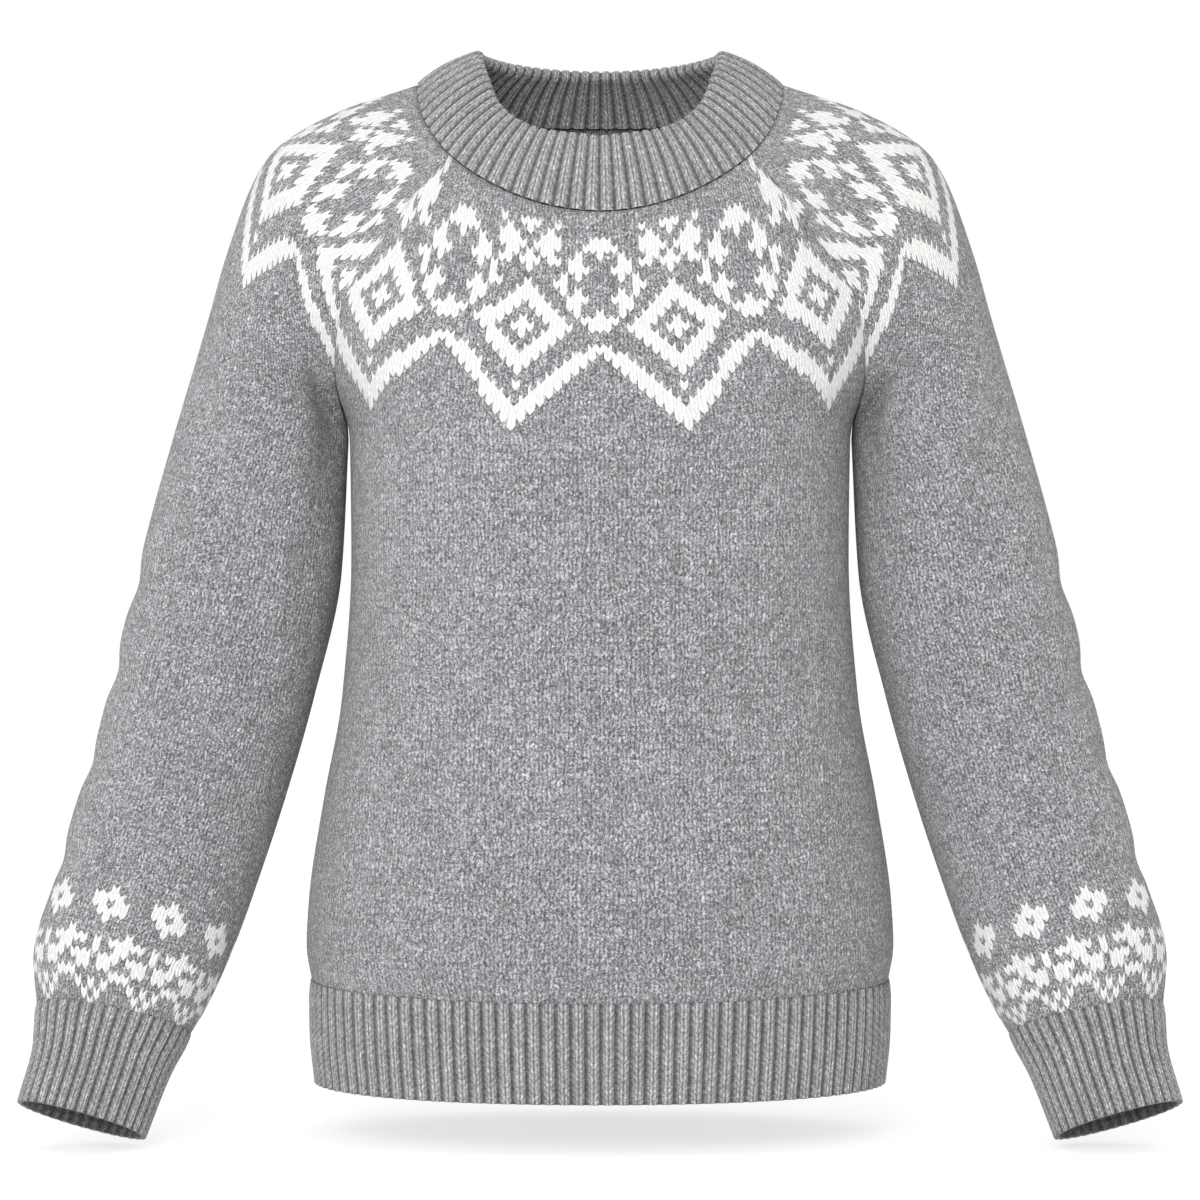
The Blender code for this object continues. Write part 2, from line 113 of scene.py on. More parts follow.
def level_slopes(knots, value):
    """Slopes at the knots for a curve that doesn't overshoot them."""
    steps = np.diff(value) / np.diff(knots)
    before, after = steps[:-1], steps[1:]
    same_way = before * after > 0
    together = np.where(same_way, before + after, 1.0)
    middle = np.where(same_way, 2 * before * after / together, 0.0)
    return np.concatenate([[steps[0]], middle, [steps[-1]]])


def smooth(columns, names, down):
    """Values of a shape table at one distance down the cloth."""
    knots = columns["down"]
    at = int(np.clip(np.searchsorted(knots, down) - 1, 0, len(knots) - 2))
    span = knots[at + 1] - knots[at]
    part = (down - knots[at]) / span
    found = []
    for name in names:
        value = columns[name]
        slope = level_slopes(knots, value)
        found.append(
            (2 * part**3 - 3 * part**2 + 1) * value[at]
            + (part**3 - 2 * part**2 + part) * span * slope[at]
            + (3 * part**2 - 2 * part**3) * value[at + 1]
            + (part**3 - part**2) * span * slope[at + 1]
        )
    return found


def spaced(rows, values):
    """A measure of the cloth at any row, on straight lines between the rows where it is known."""
    return lambda row: float(np.interp(row, rows, values))


def bezier(start, start_handle, end_handle, end):
    """Points along a curve, its handles given from its ends."""
    part = np.linspace(0.0, 1.0, CURVE_POINTS)[:, None]
    rest = 1.0 - part
    start, end = np.array(start, float), np.array(end, float)
    return (
        rest**3 * start
        + 3 * rest**2 * part * (start + np.array(start_handle, float))
        + 3 * rest * part**2 * (end + np.array(end_handle, float))
        + part**3 * end
    )


def body_row(columns, down, side):
    """One row across the front (side -1) or the back (side 1), from the -X seam to the +X seam."""
    centre_y, centre_z, edge_x, edge_y, edge_z, lead, arrive, turn, climb = smooth(
        columns, list(columns)[1:], down
    )
    turn, climb = math.radians(turn), math.radians(climb)
    aside = math.cos(turn) * math.cos(climb)
    behind = -side * math.sin(turn) * math.cos(climb)
    way = np.array([aside, behind, math.sin(climb)])
    near_underarm = np.clip((turn - math.radians(60)) / math.radians(30), 0.0, 1.0)
    edge = (edge_x - UNDERARM_CLEARANCE * near_underarm, edge_y, edge_z)
    half = bezier((0.0, centre_y, centre_z), (lead, 0.0, 0.0), -arrive * way, edge)
    return np.vstack([half[::-1] * np.array([-1.0, 1.0, 1.0]), half[1:]])


def at_shares(row, shares):
    """Points of a row at shares of its length, -1 at its first end and 1 at its last."""
    steps = np.linalg.norm(np.diff(row, axis=0), axis=1)
    along = np.concatenate([[0.0], np.cumsum(steps)])
    at = (np.asarray(shares) + 1.0) / 2.0 * along[-1]
    return np.stack([np.interp(at, along, row[:, axis]) for axis in range(3)], axis=1)


def yoke_white(stitch, row):
    """Whether a stitch of the yoke is white: a ring in each repeat, and a star and a diamond between rings.

    Each row of a chart runs outwards from the motif's middle stitch, and is the same on both sides of it.
    """
    ring = {
        4: "##", 5: "###", 6: "#..#", 7: "...##", 8: "..###", 9: "...#.#", 10: ".....##", 11: "...#.#",
        12: "..###", 13: "...##", 14: "#..#", 15: "###", 16: "##",
    }
    star = {2: "##..#", 3: "#..#", 4: "..###", 5: ".####", 6: "#.##", 7: "##.##", 8: "#", 24: "#"}
    half = REPEAT // 2
    from_ring = abs((stitch + half) % REPEAT - half)
    from_star = half - from_ring
    if ring.get(row, "")[from_ring : from_ring + 1] == "#":
        return True
    if star.get(row, "")[from_star : from_star + 1] == "#":
        return True
    diamond_row, zigzag_row = 16, 19
    from_diamond = from_star + abs(row - diamond_row)
    if from_diamond in (0, 1, 4, 5, 6):
        return True
    lowest = zigzag_row + from_ring
    thick = min(3, 1 + (from_ring + 1) // 2)
    return lowest - thick < row <= lowest


def body_white(stitch, row):
    """The yoke's chart on the front and back, lifted a little where the cloth curves round to the sleeves."""
    return yoke_white(stitch, row + (abs(stitch) > 14) + (abs(stitch) > 25))


def wool_shader(name, grey, cream, relief, stray, fleck):
    """Heathered wool whose stitch legs follow the piece's stitch coordinates, with painted shade in the
    grooves between the legs.
    """
    wool = bpy.data.materials.new(name)
    wool.use_nodes = True
    nodes, links = wool.node_tree.nodes, wool.node_tree.links
    shader = nodes["Principled BSDF"]
    shader.inputs["Roughness"].default_value = 0.95
    shader.inputs["Specular IOR Level"].default_value = 0.15
    shader.inputs["Sheen Weight"].default_value = 0.22
    shader.inputs["Sheen Roughness"].default_value = 0.55

    def number(kind, first, second=None, third=None):
        node = nodes.new("ShaderNodeMath")
        node.operation = kind
        for socket, value in zip(node.inputs, (first, second, third)):
            if isinstance(value, (int, float)):
                socket.default_value = value
            elif value is not None:
                links.new(value, socket)
        return node.outputs[0]

    def blend(kind, amount, first, second):
        node = nodes.new("ShaderNodeMix")
        node.data_type = "RGBA"
        node.blend_type = kind
        for socket, value in ((node.inputs[0], amount), (node.inputs[6], first), (node.inputs[7], second)):
            if isinstance(value, (int, float, tuple)):
                socket.default_value = value
            else:
                links.new(value, socket)
        return node.outputs[2]

    stitches = nodes.new("ShaderNodeUVMap")
    stitches.uv_map = "stitches"
    place = nodes.new("ShaderNodeSeparateXYZ")
    links.new(stitches.outputs[0], place.inputs[0])
    where = nodes.new("ShaderNodeTexCoord")

    def noise(vector, scale, detail, distortion):
        texture = nodes.new("ShaderNodeTexNoise")
        texture.inputs["Scale"].default_value = scale
        texture.inputs["Detail"].default_value = detail
        texture.inputs["Distortion"].default_value = distortion
        links.new(vector, texture.inputs["Vector"])
        return number("SUBTRACT", texture.outputs[0], 0.5)

    # The stitches' legs, each a soft ridge that strays a little from its straight course.
    stray_across = noise(where.outputs["Object"], 170.0, 1.0, 0.0)
    stray_along = noise(where.outputs["Object"], 190.0, 1.0, 1.5)
    leg = number("MULTIPLY_ADD", stray_across, stray, place.outputs[0])
    leg = number("ABSOLUTE", number("SINE", number("MULTIPLY", leg, math.pi)))
    end = number("MULTIPLY_ADD", stray_along, stray, place.outputs[1])
    end = number("ABSOLUTE", number("SINE", number("MULTIPLY", end, math.pi)))
    height = number("MULTIPLY", number("POWER", leg, 0.6), number("MULTIPLY_ADD", end, 0.6, 0.4))

    # Fine fibres, curled strands of yarn, larger patches and the shade of each leg.
    fibres = noise(where.outputs["Object"], 560.0, 1.0, 1.0)
    curls = number("ABSOLUTE", noise(where.outputs["Object"], 430.0, 0.6, 1.6))
    strands = number("MAXIMUM", number("MULTIPLY_ADD", curls, -11.0, 1.0), 0.0)
    patches = noise(where.outputs["Object"], 45.0, 2.0, 0.0)
    leg_number = nodes.new("ShaderNodeVectorMath")
    leg_number.operation = "FLOOR"
    links.new(stitches.outputs[0], leg_number.inputs[0])
    mottle = nodes.new("ShaderNodeTexWhiteNoise")
    mottle.noise_dimensions = "2D"
    links.new(leg_number.outputs[0], mottle.inputs["Vector"])

    # Grey yarn takes all of them strongly, and white yarn only a trace.
    tone = number("MULTIPLY_ADD", fibres, 1.8 * fleck, 1.0)
    tone = number("MULTIPLY", tone, number("MULTIPLY_ADD", strands, 1.85 * fleck, 1.0 - 0.38 * fleck))
    tone = number("MULTIPLY", tone, number("MULTIPLY_ADD", patches, 0.3, 1.0))
    tone = number("MULTIPLY", tone, number("MULTIPLY_ADD", mottle.outputs[0], 0.25, 0.88))
    # Painted shade: each grey leg is darkened towards its edges and ends, where the grooves between legs fall
    # in shade.
    tone = number("MULTIPLY", tone, number("MULTIPLY_ADD", height, 0.85, 0.42))
    tone = number("MINIMUM", number("MAXIMUM", tone, 0.12), 2.4)
    shade = nodes.new("ShaderNodeCombineColor")
    for socket in shade.inputs[:3]:
        links.new(tone, socket)
    greys = blend("MULTIPLY", 1.0, grey, shade.outputs[0])
    # Painted shade: white yarn is darkened a little in the same grooves.
    soft = number("MULTIPLY_ADD", height, 0.22, 0.83)
    soft = number("MULTIPLY", soft, number("MULTIPLY_ADD", fibres, 0.3, 1.0))
    pale = nodes.new("ShaderNodeCombineColor")
    for socket in pale.inputs[:3]:
        links.new(soft, socket)
    creams = blend("MULTIPLY", 1.0, cream, pale.outputs[0])
    yarn = nodes.new("ShaderNodeAttribute")
    yarn.attribute_name = "cream_yarn"
    links.new(blend("MIX", yarn.outputs["Fac"], greys, creams), shader.inputs["Base Color"])

    fuzz = number("MULTIPLY_ADD", strands, 0.45, height)
    bump = nodes.new("ShaderNodeBump")
    bump.inputs["Strength"].default_value = 0.75
    bump.inputs["Distance"].default_value = relief
    links.new(fuzz, bump.inputs["Height"])
    links.new(bump.outputs[0], shader.inputs["Normal"])
    return wool


wool_knit = wool_shader("wool_knit", WOOL_GREY, WOOL_CREAM, 0.0013, 1.6, 1.0)
# The inside and cut edges take a darker copy of the grey wool as painted shade.
wool_purl_shaded = wool_shader("wool_purl_side", WOOL_PURL_SHADED, WOOL_CREAM, 0.0013, 1.6, 1.0)


def knit_panel(name, rows, shape, is_white, flip):
    """A panel of stocking stitch: two faces a stitch, slanting down to the stitch's middle as its legs do.

    The shape is four functions: the cloth's row at a distance down, and at each row of stitches the
    distance down, the stitches on each side of the middle and the middle's share of the half width.
    """
    row_at, down_at, stitches_at, middle_at = shape
    most = max(stitches_at(row) * (1 + abs(middle_at(row))) for row in range(rows + 1))
    reach = 2 * int(math.ceil(most)) + 1
    lines = np.arange(-reach, reach + 1)
    middles = lines % 2 == 0
    points = np.zeros((rows + 1, len(lines), 3))
    shares = np.zeros((rows + 1, len(lines)))
    for row in range(rows + 1):
        for picked, lower in ((~middles, 0.0), (middles, STITCH_DIP)):
            level = row + (lower if 0 < row < rows else 0.0)
            share = np.clip(middle_at(level) + lines[picked] / 2.0 / stitches_at(level), -1.0, 1.0)
            points[row, picked] = at_shares(row_at(down_at(level)), share)
            shares[row, picked] = share
    kept = {}
    numbers = np.zeros(shares.shape, int)
    corners = []
    for row in range(rows + 1):
        for column in range(len(lines)):
            edge = shares[row, column] if abs(shares[row, column]) == 1.0 else 0
            key = (row, edge, bool(middles[column])) if edge else (row, column)
            if key not in kept:
                kept[key] = len(corners)
                corners.append((row, column))
            numbers[row, column] = kept[key]
    faces, white, uvs = [], [], []
    inside = np.abs(shares) < 1.0
    for row in range(rows):
        for column in range(len(lines) - 1):
            if not inside[row : row + 2, column : column + 2].any():
                continue
            around = [(row, column), (row, column + 1), (row + 1, column + 1), (row + 1, column)]
            if flip:
                around.reverse()
            face, spots = [], []
            for spot in around:
                number = int(numbers[spot])
                if number not in face:
                    face.append(number)
                    spots.append((float(lines[spot[1]]), float(spot[0])))
            if len(face) < 3:
                continue
            stitch = lines[column] // 2 if middles[column] else (lines[column] + 1) // 2
            faces.append(face)
            uvs.extend(spots)
            white.extend([1.0 if is_white(int(stitch), row) else 0.0] * len(face))
    mesh = bpy.data.meshes.new(name)
    mesh.from_pydata([tuple(points[corner] * MILLIMETRE) for corner in corners], [], faces)
    mesh.uv_layers.new(name="stitches").data.foreach_set("uv", np.array(uvs).ravel())
    yarn = mesh.attributes.new("cream_yarn", "FLOAT", "CORNER")
    yarn.data.foreach_set("value", np.array(white))
    mesh.shade_smooth()
    mesh.materials.append(wool_knit)
    mesh.materials.append(wool_purl_shaded)
    panel = bpy.data.objects.new(name, mesh)
    bpy.context.scene.collection.objects.link(panel)
    wall = panel.modifiers.new("cloth thickness", "SOLIDIFY")
    wall.thickness = CLOTH_THICKNESS * MILLIMETRE
    wall.offset = -1.0
    wall.material_offset = 1
    wall.material_offset_rim = 1
    return panel


def centred(row):
    return 0.0


front_shape = table(FRONT_SHAPE)
body_stitches = spaced(*table(BODY_STITCHES).values())
front_downs = spaced(YOKE_LEVELS + [FRONT_ROWS], YOKE_DOWNS + [FRONT_LENGTH - SEAM_GAP])
front_rows = lambda down: body_row(front_shape, down, -1)
front_panel = knit_panel(
    "front_panel", FRONT_ROWS, (front_rows, front_downs, body_stitches, centred), body_white, flip=True
)
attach(front_panel, "root")
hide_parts("front")

# Back panel
# The back is knitted like the front, with the same pattern round the yoke, but it reaches higher at
# the neck and its raglan edges are longer. It has no opening or label.
BACK_SHAPE = """
down centre_y centre_z edge_x  edge_y  edge_z  lead arrive turn climb
0        72     -16      88.0    44.0    -9.0   34    32    48   12
52       97     -68     124.0    66.0   -72.0   52    42    46    4
104     104    -120     152.0    68.0  -128.0   66    50    50    0
158     105    -178     166.0    46.0  -186.0   84    62    66    0
212     102    -232     160.0     0.0  -226.0   96    62    90    0
282      98    -302     159.0     0.0  -302.0   98    60    90    0
371      98    -391     165.0     0.0  -391.0  100    60    90    0
435     106    -455     176.5     0.0  -455.0  108    66    90    0
499     115    -519     186.0     0.0  -519.0  114    72    90    0
529     117    -548     187.5     0.0  -548.0  115    73    90    0
552     112    -571     184.0     0.0  -571.0  112    69    90    0
"""
BACK_ROWS = 105
BACK_UNDERARM = 212.0
BACK_LENGTH = 552.0

back_shape = table(BACK_SHAPE)
back_yoke_downs = [down * BACK_UNDERARM / FRONT_UNDERARM for down in YOKE_DOWNS]
back_downs = spaced(YOKE_LEVELS + [BACK_ROWS], back_yoke_downs + [BACK_LENGTH - SEAM_GAP])
back_rows = lambda down: body_row(back_shape, down, 1)
back_panel = knit_panel(
    "back_panel", BACK_ROWS, (back_rows, back_downs, body_stitches, centred), body_white, flip=False
)
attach(back_panel, "root")
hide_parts("back")

# Sleeves
# Each sleeve is one piece that carries the yoke pattern over the shoulder, sewn into a tube under the
# arm. It is full above the cuff, where a band of rosettes, crosses and a garland runs round.
SLEEVE_YOKE_SHAPE = """
down outer_x outer_y outer_z front_x front_y front_z back_x back_y back_z top_f drop_f top_b drop_b
0      116      4       1       14      17      15      15    -13      3     26     18    18     3
58     170      2     -18        8      33      38       8    -24     36     34      9    32     8
109    212      2     -46       30       8      34      30     -6     32     50     12    46    12
170    237      2    -104       34     -34      22      32     34     20     66     12    60    12
262    263      0    -196        0     -80       0       0     74      0     80      0    74     0
"""
SLEEVE_TUBE_SHAPE = """
down inner_x inner_y inner_z outer_x outer_y outer_z front_depth back_depth lean
262   160.0     0    -226     263.0     0    -196       60         56         0
345   164.5     0    -311     286.0     0    -277       56         52         2
425   182.0    -3    -391     305.5    -3    -357       54         50         6
490   199.0   -12    -452     319.5   -12    -419       53         49        12
540   213.0   -24    -497     332.0   -24    -464       52         48        15
590   228.0   -38    -541     343.0   -38    -509       51         47        17
636   245.0   -52    -581     353.5   -52    -553       47         43        18
658   256.0   -58    -600     350.5   -58    -581       38         34        18
"""
SLEEVE_UNDERARM = 262.0
SLEEVE_LENGTH = 658.0
SLEEVE_ROWS = 133
SLEEVE_YOKE_STRETCH = 1.179
CLEARANCE_FROM = 120.0
SEAM_FADE = 14.0
SLEEVE_STITCHES = """
row half_stitches
0     18.0
6     22.8
10    25.8
17    28.5
24    31.2
31    32.8
49    36.0
133   36.0
"""
SLEEVE_MIDDLE = """
row share
0     0.16
6     0.18
10    0.13
17    0.1
21    0.0
25    -0.07
31    -0.12
49    -0.05
62    0.014
133   0.014
"""
SEAM_SHARES = [0.0, 0.276, 0.55, 0.785, 1.0]
FOLDS = """
down across length breadth slope depth
232   -158     75     17     82    8.0
300    -60     90     17    -62    5.0
395     20     80     13     18    3.5
452    -30     70     12    -22    4.0
515     25     75     12     14    3.0
575    -20     60     11    -10    2.5
"""

yoke_shape = table(SLEEVE_YOKE_SHAPE)
tube_shape = table(SLEEVE_TUBE_SHAPE)
folds = table(FOLDS)


def ring_row(columns, down):
    """A ring round the arm, from its seam past the front and the outer side to the seam again."""
    inner_x, inner_y, inner_z, outer_x, outer_y, outer_z, front, back, lean = smooth(
        columns, list(columns)[1:], down
    )
    lean = math.radians(lean)
    forward = np.array([0.0, -math.cos(lean), math.sin(lean)]) * 4 / 3
    inner, outer = (inner_x, inner_y, inner_z), (outer_x, outer_y, outer_z)
    ahead = bezier(inner, front * forward, front * forward, outer)
    behind = bezier(outer, -back * forward, -back * forward, inner)
    return np.vstack([ahead, behind[1:]])


def sleeve_row(down):
    """One row of the +X sleeve, with its soft folds pressed in."""
    if down >= SLEEVE_UNDERARM:
        row = ring_row(tube_shape, down)
    else:
        share = float(np.interp(down, yoke_shape["down"], SEAM_SHARES))
        start = smooth(front_shape, ["edge_x", "edge_y", "edge_z"], share * FRONT_UNDERARM)
        end = smooth(back_shape, ["edge_x", "edge_y", "edge_z"], share * BACK_UNDERARM)
        outer_x, outer_y, outer_z, *handles = smooth(yoke_shape, list(yoke_shape)[1:], down)
        outer = (outer_x, outer_y, outer_z)
        top_front, drop_front, top_back, drop_back = handles[6:]
        ahead = bezier(start, handles[0:3], (0.0, -top_front, -drop_front), outer)
        behind = bezier(outer, (0.0, top_back, -drop_back), handles[3:6], end)
        row = np.vstack([ahead, behind[1:]])
    near_underarm = np.clip((down - CLEARANCE_FROM) / (SLEEVE_UNDERARM - CLEARANCE_FROM), 0.0, 1.0)
    row = row + np.array([UNDERARM_CLEARANCE * near_underarm, 0.0, 0.0])
    across = np.linspace(-180.0, 180.0, len(row))
    press = np.zeros(len(row))
    for index in range(len(folds["down"])):
        slope = math.radians(folds["slope"][index])
        right, below = across - folds["across"][index], down - folds["down"][index]
        along = right * math.cos(slope) + below * math.sin(slope)
        beside = -right * math.sin(slope) + below * math.cos(slope)
        press += folds["depth"][index] * np.exp(
            -((along / folds["length"][index]) ** 2) - (beside / folds["breadth"][index]) ** 2
        )
    press *= np.clip((180.0 - np.abs(across)) / SEAM_FADE, 0.0, 1.0)
    outward = row - row.mean(axis=0)
    outward /= np.linalg.norm(outward, axis=1, keepdims=True)
    return row - outward * press[:, None]


def sleeve_white(stitch, row):
    """The yoke's chart above, and the band above the cuff: 8 stitches a repeat, rows from the ribbing up."""
    band = {
        0: "....#...", 1: "...#.#..", 2: "..#.#.#.", 3: "##.....#", 4: "..##.##.", 5: ".###.###",
        6: "##..#...", 7: "###.#.##", 8: "#.......", 10: "....#...", 11: "..####..", 12: "..##.##.",
        13: "...####.", 14: "....#...",
    }
    up = SLEEVE_ROWS - 1 - row
    if up in band:
        return band[up][(stitch + 3) % 8] == "#"
    return yoke_white(stitch, row + (abs(stitch) > 25))


sleeve_yoke_downs = [down * SLEEVE_YOKE_STRETCH for down in YOKE_DOWNS]
sleeve_downs = spaced(YOKE_LEVELS + [SLEEVE_ROWS], sleeve_yoke_downs + [SLEEVE_LENGTH - SEAM_GAP])
sleeve_stitches = spaced(*table(SLEEVE_STITCHES).values())
sleeve_middle = spaced(*table(SLEEVE_MIDDLE).values())
for name, side in (("left", 1.0), ("right", -1.0)):
    mirror = np.array([side, 1.0, 1.0])
    sleeve_rows = lambda down: sleeve_row(down) * mirror
    sleeve_shape = (sleeve_rows, sleeve_downs, sleeve_stitches, sleeve_middle)
    sleeve = knit_panel(f"{name}_sleeve", SLEEVE_ROWS, sleeve_shape, sleeve_white, flip=side > 0)
    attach(sleeve, "root")
    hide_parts(f"sleeve_{name}")

# Hem ribbing
# Each side of the hem is 54 ribs of one knit and one purl stitch. The knit stitches stand up as pairs
# of legs and the purl stitches sink between them, and the edge is cast off loosely.
HEM_SHAPE = """
down front_y back_y edge_x lead front_arrive back_arrive z front_drop
0     -124    112    184.0  112      76          69     -571    4
30    -121    109    183.5  111      74          68     -603    2
64    -119    107    180.5  109      73          66     -635    1
"""
HEM_RIBS = 54
HEM_ROWS = 24
HEM_HEIGHT = 64.0
RIB_LIFT = 1.5
RIB_PROFILE = [0.0, 0.12, 0.72, 1.0, 0.78, 1.0, 0.72, 0.12]
RIB_ACROSS = [0.0, 0.2, 0.3, 0.43, 0.58, 0.73, 0.86, 0.94]
# Painted shade across one rib: the valleys and the middle line between a rib's two legs are darkened where
# they fall in shade.
RIB_SHADES = """
across shade
0.0    0.4
0.15   0.42
0.27   0.85
0.40   1.3
0.54   1.05
0.58   0.78
0.62   1.05
0.76   1.3
0.88   0.85
0.97   0.42
"""
RIB_GREY = (0.325, 0.327, 0.338, 1.0)
RIB_POINTS = len(RIB_ACROSS)
RIB_ROW_HEIGHT = 0.6
FIRST_RIB_ROW = 2.8
RIB_LAP = 0.3


def rib_shader(name, grey, relief):
    """Ribbing wool: light knit legs with a fine line of painted shade between them, and painted shade on the
    purl bumps in the valleys.
    """
    wool = wool_shader(name, grey, WOOL_CREAM, relief, 0.5, 0.5)
    nodes, links = wool.node_tree.nodes, wool.node_tree.links
    shader = nodes["Principled BSDF"]
    colour = shader.inputs["Base Color"].links[0].from_socket
    ribs = nodes.new("ShaderNodeUVMap")
    ribs.uv_map = "ribs"
    place = nodes.new("ShaderNodeSeparateXYZ")
    links.new(ribs.outputs[0], place.inputs[0])
    part = nodes.new("ShaderNodeMath")
    part.operation = "FRACT"
    links.new(place.outputs[0], part.inputs[0])
    # Painted shade across each rib, multiplied into the wool colour.
    ramp = nodes.new("ShaderNodeValToRGB")
    shades = table(RIB_SHADES)
    while len(ramp.color_ramp.elements) < len(shades["across"]):
        ramp.color_ramp.elements.new(0.5)
    palest = max(shades["shade"])
    for element, position, shade in zip(ramp.color_ramp.elements, shades["across"], shades["shade"] / palest):
        element.position = position
        element.color = (shade, shade, shade, 1.0)
    links.new(part.outputs[0], ramp.inputs[0])
    mix = nodes.new("ShaderNodeMix")
    mix.data_type = "RGBA"
    mix.blend_type = "MULTIPLY"
    mix.inputs[0].default_value = 1.0
    links.new(colour, mix.inputs[6])
    links.new(ramp.outputs[0], mix.inputs[7])
    links.new(mix.outputs[2], shader.inputs["Base Color"])
    return wool


wool_ribbing = rib_shader("wool_ribbing", RIB_GREY, 0.0010)


def ribbing(name, grid, lift, closed, thickness):
    """Ribbed cloth over a grid of plain rows with eight points a rib, outside facing out.

    Where it has a thickness, its ribs rise out of the knitted cloth and its first row laps onto that cloth.
    """
    if closed:
        wrapped = np.concatenate([grid[:, -1:], grid, grid[:, :1]], axis=1)
        across = wrapped[:, 2:] - wrapped[:, :-2]
    else:
        across = np.gradient(grid, axis=1)
    normal = np.cross(np.gradient(grid, axis=0), across)
    normal /= np.linalg.norm(normal, axis=2, keepdims=True)
    rows, columns = grid.shape[:2]
    profile = np.array(RIB_PROFILE)[np.arange(columns) % RIB_POINTS]
    swell = np.interp(np.arange(rows), [0, 1, 3], [0.25, 0.6, 1.0]) if thickness else np.ones(rows)
    grid = grid + normal * (profile[None, :] * swell[:, None] * lift + 0.2)[:, :, None]
    if thickness:
        grid[0] += RIB_LAP * (grid[0] - grid[1])
    turns = columns if closed else columns - 1
    faces, legs, spots = [], [], []
    leg_at = [0.0, 0.4, 0.7, 1.5, 2.0, 2.5, 3.3, 3.6, 4.0]
    rib_at = RIB_ACROSS + [1.0]
    for row in range(rows - 1):
        for column in range(turns):
            after = (column + 1) % columns
            upper, lower = row * columns, (row + 1) * columns
            faces.append((upper + column, lower + column, lower + after, upper + after))
            step, rib = column % RIB_POINTS, column // RIB_POINTS
            for over, down in ((0, 0), (0, 1), (1, 1), (1, 0)):
                slant = 0.5 * abs(leg_at[step + over] - 2.0)
                legs.append((rib * 4 + leg_at[step + over], (row + down) * RIB_ROW_HEIGHT + slant))
                spots.append((rib + rib_at[step + over], row + down))
    mesh = bpy.data.meshes.new(name)
    mesh.from_pydata([tuple(point) for point in (grid.reshape(-1, 3) * MILLIMETRE)], [], faces)
    mesh.uv_layers.new(name="stitches").data.foreach_set("uv", np.array(legs).ravel())
    mesh.uv_layers.new(name="ribs").data.foreach_set("uv", np.array(spots).ravel())
    mesh.shade_smooth()
    mesh.materials.append(wool_ribbing)
    cloth = bpy.data.objects.new(name, mesh)
    bpy.context.scene.collection.objects.link(cloth)
    if thickness:
        wall = cloth.modifiers.new("cloth thickness", "SOLIDIFY")
        wall.thickness = thickness * MILLIMETRE
        wall.offset = -1.0
    return cloth


def rib_shares(ribs, closed):
    """Shares of a row's length for eight points a rib."""
    at = np.concatenate([rib + np.array(RIB_ACROSS) for rib in range(ribs)])
    if not closed:
        at = np.append(at, ribs)
    return at / ribs * 2.0 - 1.0


hem_shape = table(HEM_SHAPE)


def hem_row(down, side):
    """One row across the hem's front (side -1) or back (side 1)."""
    front_y, back_y, edge_x, lead, front_arrive, back_arrive, level, drop = smooth(
        hem_shape, list(hem_shape)[1:], down
    )
    deep, arrive = (front_y, front_arrive) if side < 0 else (back_y, back_arrive)
    middle = level - drop if side < 0 else level
    half = bezier((0.0, deep, middle), (lead, 0.0, 0.0), (0.0, side * arrive, 0.0), (edge_x, 0.0, level))
    return np.vstack([half[::-1] * np.array([-1.0, 1.0, 1.0]), half[1:]])


hem_downs = np.append(0.0, np.linspace(FIRST_RIB_ROW, HEM_HEIGHT, HEM_ROWS))
for name, side in (("front", -1), ("back", 1)):
    shares = rib_shares(HEM_RIBS, False)
    rows = np.array([at_shares(hem_row(down, side)[::-side], shares) for down in hem_downs])
    hem = ribbing(f"hem_ribbing_{name}", rows, RIB_LIFT, False, CLOTH_THICKNESS)
    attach(hem, "root")
    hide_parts(f"hem_rib_{name}")

# Cuffs
# Each cuff is a tube of 34 ribs, narrower than the sleeve that is gathered into it, and it opens
# forwards and down so that the ribs of its far side show inside.
CUFF_SHAPE = """
down inner_x inner_y inner_z outer_x outer_y outer_z front_depth back_depth lean
0     256.0   -58    -600.0   350.5   -58    -581.0     38         34       18
24    268.0   -66    -622.0   350.5   -66    -602.0     33         30       18
66    282.5   -80    -660.5   358.5   -80    -640.0     31         28       18
"""
CUFF_RIBS = 34
CUFF_ROWS = 24
CUFF_HEIGHT = 66.0

cuff_shape = table(CUFF_SHAPE)
cuff_downs = np.append(0.0, np.linspace(FIRST_RIB_ROW, CUFF_HEIGHT, CUFF_ROWS))
for name, side in (("left", 1), ("right", -1)):
    shares = rib_shares(CUFF_RIBS, True)
    rows = np.array([at_shares(ring_row(cuff_shape, down)[::side], shares) for down in cuff_downs])
    rows = rows * np.array([side, 1.0, 1.0])
    cuff = ribbing(f"{name}_cuff", rows, RIB_LIFT, True, CLOTH_THICKNESS)
    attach(cuff, "root")
    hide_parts(f"cuff_{name}")

# Neckband
# The neckband is a long strip of ribbing picked up round the neck, folded over double and sewn down
# inside, so it stands up thick and round with its ribs running over the fold.
NECK_TOP = {"half_width": 77.0, "side_y": -6.0, "side_z": 21.0, "front_y": -72.0, "front_z": -40.5}
NECK_BACK = {"y": 46.0, "z": 15.0}
NECK_FALL = """
down share
0    1.0
29   0.906
54   0.64
73   0.24
90   0.0
"""
NECK_RIBS = 72
NECK_LIFT = 1.2
NECK_THICKNESS = 6.0
NECK_ROWS = 15
NECK_BULGE = 2.5
NECK_GAP = 0.3


def neck_seam_row():
    """The seam between the panels and the neckband, from the middle of the front all the way round."""
    front = body_row(front_shape, 0.0, -1)[CURVE_POINTS - 1 :]
    shoulder = sleeve_row(0.0)
    back = body_row(back_shape, 0.0, 1)[CURVE_POINTS - 1 :][::-1]
    half = np.vstack([front, shoulder[1:-1], back])
    other = half[::-1][1:-1] * np.array([-1.0, 1.0, 1.0])
    return np.vstack([half, other, half[:1]])


